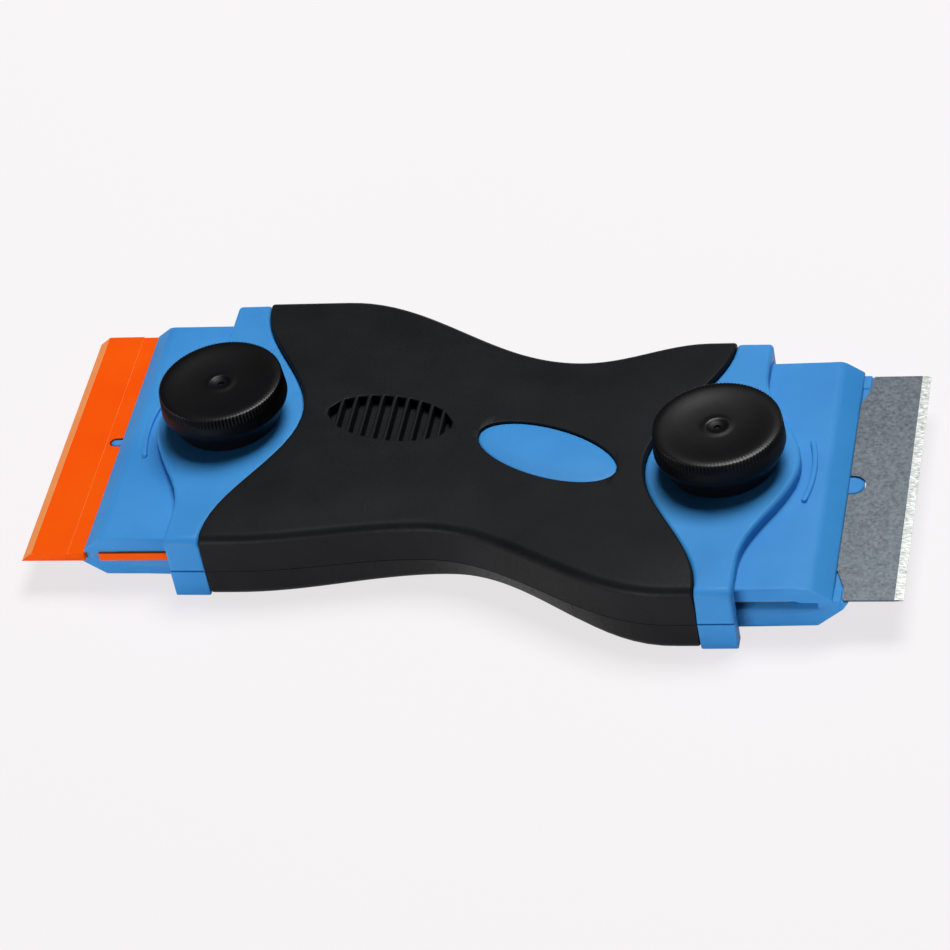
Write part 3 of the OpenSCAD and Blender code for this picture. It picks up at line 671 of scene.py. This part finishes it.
# %% [markdown]
# ## The knobs
#
# A knob is round about its own axis, so we draw half of its section and spin it. The rim has a fine straight
# knurl of 108 teeth: with two steps of the spin for each tooth, every second column of the rim is simply
# pushed in, most at the top edge and less and less further down. The top was polished in the mould, the side
# wasn't, so the faces above a certain height get the glossier nylon.

# %% Knobs
TEETH, TOOTH_DEPTH, KNURL_INNER = 108, 0.14, 7.19
KNOB_TOP, KNURL_LOW, KNURL_FULL = 14.3, 11.4, 13.9
PROFILE = [(0, 13.6), (0.25, 13.62), (0.38, 13.84), (0.6, 13.88), (0.95, 13.9), (1.15, 14.06),
           (1.45, 14.08), (1.75, 14.02), (2.2, 14.02), (3.4, 14.05), (4.4, 14.12), (5.2, 14.2),
           (5.9, 14.27), (6.4, KNOB_TOP), (7.2, KNOB_TOP), (7.31, 14.25), (7.36, 14.1), (7.39, 13.7),
           (7.43, 13.3), (7.46, 12.9), (7.5, 12.3), (7.55, 11.6), (7.4, 11.2), (7.05, 10.6), (6.65, 9.7),
           (6.3, 8.9), (6.1, 8.65), (4.85, 8.65), (4.85, 9.05), (2.02, 9.05), (2.02, 9.43), (4.08, 9.43),
           (4.08, 12.07), (0, 12.07)]
POLISHED = 14.0

for end, side in (("left", -1), ("right", 1)):
    bm = bmesh.new()
    points = [bm.verts.new((r, 0, z)) for r, z in PROFILE]
    edges = [bm.edges.new(pair) for pair in zip(points, points[1:])]
    bmesh.ops.spin(bm, geom=points + edges, cent=(0, 0, 0), axis=(0, 0, 1), angle=math.tau, steps=2 * TEETH,
                   use_merge=True)
    bmesh.ops.remove_doubles(bm, verts=bm.verts, dist=0.001)
    bmesh.ops.recalc_face_normals(bm, faces=bm.faces)
    for vert in bm.verts:
        radius = math.hypot(vert.co.x, vert.co.y)
        step = round(math.atan2(vert.co.y, vert.co.x) / math.tau * 2 * TEETH)
        if radius > KNURL_INNER and step % 2:
            depth = TOOTH_DEPTH * ease((vert.co.z - KNURL_LOW) / (KNURL_FULL - KNURL_LOW))
            vert.co.xy *= 1 - depth / radius
    for face in bm.faces:
        face.material_index = int(face.calc_center_median().z > POLISHED)
    bmesh.ops.translate(bm, vec=(side * KNOB_X, -side * END_SHIFT, 0), verts=bm.verts)
    finish_piece(f"knob_{end}", bm, f"{end}_knob_set", "black_plastic", [black_plastic, black_polished],
                 f"{end}_knob")

# %% [markdown]
# ## The fasteners
#
# The studs, washers, nuts and screws are almost hidden. Their CAD solids stay as they are and only get the
# zinc plating.

# %% Fasteners
clamp_steel = [f"{end}_{kind}" for end in ("left", "right") for kind in ("stud", "washer", "nut")]
plated = clamp_steel + ["handle_screws"]
for name in plated:
    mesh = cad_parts[name].data
    mesh.materials.clear()
    mesh.materials.append(zinc)
print("plated:", ", ".join(plated))

# %% [markdown]
# ## Floor and light
#
# The photo is a bright studio picture. A soft lamp hangs above the tool and a little behind it, so the
# knobs' shadows fall towards us. The pale table throws some of that light back at the sides from below. A
# low strip lamp in front lifts the sides that face us without reaching into the knobs' shadows, and the
# room beyond is almost dark. What the camera sees of the table, directly or mirrored in the steel, is
# mostly the paper's own colour, mixed with a share of the lit surface that keeps the tool's shadow.

# %% Stage
FLOOR_SIZE, GLOW_SHARE, PAPER = 4, 0.8, linear("#F9F6F8")
ROOM_LIGHT = 0.05

bpy.ops.mesh.primitive_plane_add(size=FLOOR_SIZE)
floor = bpy.context.object
floor.name = "floor"
paper = bpy.data.materials.new("paper_white")
paper.use_nodes = True
tree = paper.node_tree
tree.nodes.remove(tree.nodes["Principled BSDF"])
rays = add(tree, "LightPath", {})
seen = add(tree, "Math", {0: rays.outputs["Is Camera Ray"], 1: rays.outputs["Is Glossy Ray"]},
           operation="MAXIMUM")
share = add(tree, "Math", {0: seen.outputs[0], 1: GLOW_SHARE}, operation="MULTIPLY")
diffuse = add(tree, "BsdfDiffuse", {"Color": PAPER})
glow = add(tree, "Emission", {"Color": PAPER, "Strength": 1.0})
blend = add(tree, "MixShader", {0: share.outputs[0], 1: diffuse.outputs[0], 2: glow.outputs[0]})
tree.links.new(blend.outputs[0], tree.nodes["Material Output"].inputs["Surface"])
floor.data.materials.append(paper)

world = bpy.data.worlds.new("room")
bpy.context.scene.world = world
world.use_nodes = True
room = world.node_tree.nodes["Background"]
room.inputs["Color"].default_value = linear("#FFFFFF")
room.inputs["Strength"].default_value = ROOM_LIGHT


def softbox(name, place, width, height, watts):
    data = bpy.data.lights.new(name, "AREA")
    data.shape = "RECTANGLE"
    data.size, data.size_y = width, height
    data.energy = watts
    lamp = bpy.data.objects.new(name, data)
    lamp.location = place
    lamp.rotation_euler = (-lamp.location).to_track_quat("-Z", "Y").to_euler()
    bpy.context.scene.collection.objects.link(lamp)


softbox("overhead", place=(0.1, 0.28, 0.76), width=0.4, height=0.4, watts=6.65)
softbox("strip", place=(-0.35, -0.85, 0.05), width=0.5, height=0.08, watts=4.2)
